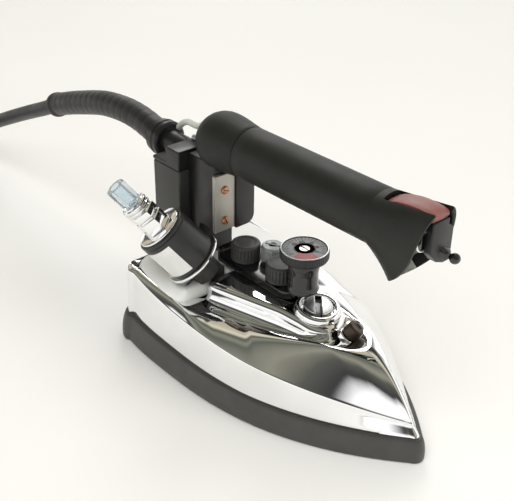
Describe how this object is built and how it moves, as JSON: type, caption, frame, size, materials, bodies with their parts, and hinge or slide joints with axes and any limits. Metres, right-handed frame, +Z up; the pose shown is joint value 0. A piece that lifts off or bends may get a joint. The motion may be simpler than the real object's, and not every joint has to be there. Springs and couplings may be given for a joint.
{
  "type": "industrial steam iron",
  "caption": "Corded gravity-feed steam iron with chrome cover, dark shoe, cantilevered cylindrical handle, side water valve and thermostat dial.",
  "frame": {"origin": "centre of the flat sole face, half way between tip and heel", "axes": "+X towards the tip, +Y towards the left side of the iron, +Z up, away from the fabric"},
  "size_m": [0.648, 0.1997, 0.15],
  "materials": {
    "bakelite": "moulded, slightly dull",
    "black_enamel": "glossy black",
    "black_plastic": "semi gloss",
    "box_grey": "satin charcoal",
    "brass": "plain",
    "cast_aluminium": "as cast",
    "cast_grey": "sand cast",
    "ceramic": "unglazed steatite",
    "chrome": "polished",
    "clear_hose": "clear soft hose",
    "copper": "enamelled copper",
    "cord_black": "rubber sheath",
    "dark_brass": "oxidised",
    "dial_silver": "printed scale",
    "grip_black": "moulded heat-resistant plastic",
    "label_white": "blank paper label",
    "light_grey": "moulded",
    "liner_grey": "bare sheet",
    "mineral_board": "fibrous board",
    "ptfe": "matt non-stick sheet",
    "red_plastic": "dull red",
    "rubber_black": "moulded rubber",
    "satin_chrome": "satin",
    "shoe_grey": "satin dark grey",
    "steel": "plain steel",
    "tie_black": "plastic tie"
  },
  "bodies": {
    "iron": {"sole_sheet": "ptfe", "shoe_rim": "shoe_grey", "sole_plate": "cast_aluminium", "heater_element": "steel", "steam_chamber": "cast_aluminium", "chamber_screws": "steel", "insulation_board": "mineral_board", "base_cover": "chrome", "rear_deck": "satin_chrome", "cover_platform": "chrome", "bracket_foot": "black_enamel", "cover_studs": "steel", "cap_nut_front": "bakelite", "cap_nut_rear": "bakelite", "steam_adjust_screw": "cast_grey", "cup_ring": "chrome", "drain_plug": "steel", "vent_collar": "chrome", "vent_plug": "dark_brass", "thermostat_body": "black_enamel", "rear_box": "box_grey", "box_lid": "black_plastic", "wire_sleeve": "light_grey", "terminal_block": "ceramic", "handle_leg": "black_plastic", "front_plate": "chrome", "guard_cover": "black_plastic", "plate_screws": "copper", "handle_socket": "grip_black", "grip_shell": "grip_black", "core_tube": "steel", "handle_flare": "grip_black", "flare_liner": "liner_grey", "switch_body": "black_plastic", "lever_pin": "steel", "valve_foot": "black_enamel", "valve_flange": "chrome", "coil_can": "black_enamel", "coil_winding": "copper", "core_guide": "steel", "can_label": "label_white", "can_collar": "black_plastic", "end_disc": "chrome", "inlet_union": "chrome", "inlet_nut": "chrome", "hose_stub": "clear_hose", "gland_nut": "rubber_black", "cord_boot": "rubber_black", "cord_tube": "cord_black", "cord_coil": "cord_black", "coil_tie": "tie_black", "mains_plug": "rubber_black", "plug_pins": "brass"},
    "dial": {"thermostat_dial": "black_plastic", "dial_plate": "dial_silver", "dial_screw": "brass"},
    "steam_lever": {"steam_button": "red_plastic", "lever_arm": "black_plastic"},
    "switch_pin": {"switch_plunger": "red_plastic"},
    "valve_core": {"valve_plunger": "steel"}
  },
  "joints": [
    {"name": "thermostat_turn", "type": "hinge", "parent": "iron", "child": "dial", "pos_m": [0.0085, 0, 0.087], "axis": [0, 0, 1], "range_deg": [-20, 250]},
    {"name": "lever_press", "type": "hinge", "parent": "iron", "child": "steam_lever", "pos_m": [0.07, 0, 0.1436], "axis": [0, 1, 0], "range_deg": [0, 4], "stiffness_Nm_per_rad": 0.6, "springref_deg": -17.19},
    {"name": "switch_press", "type": "slide", "parent": "iron", "child": "switch_pin", "axis": [0, 0, 1], "range_m": [-0.001, 0]},
    {"name": "valve_lift", "type": "slide", "parent": "iron", "child": "valve_core", "axis": [-0.357, -0.546, 0.758], "range_m": [0, 0.003], "stiffness_N_per_m": 300, "springref_m": -0.002}
  ],
  "couplings": [
    {"joint": "switch_press", "follows": "lever_press", "m_per_rad": -0.011}
  ]
}
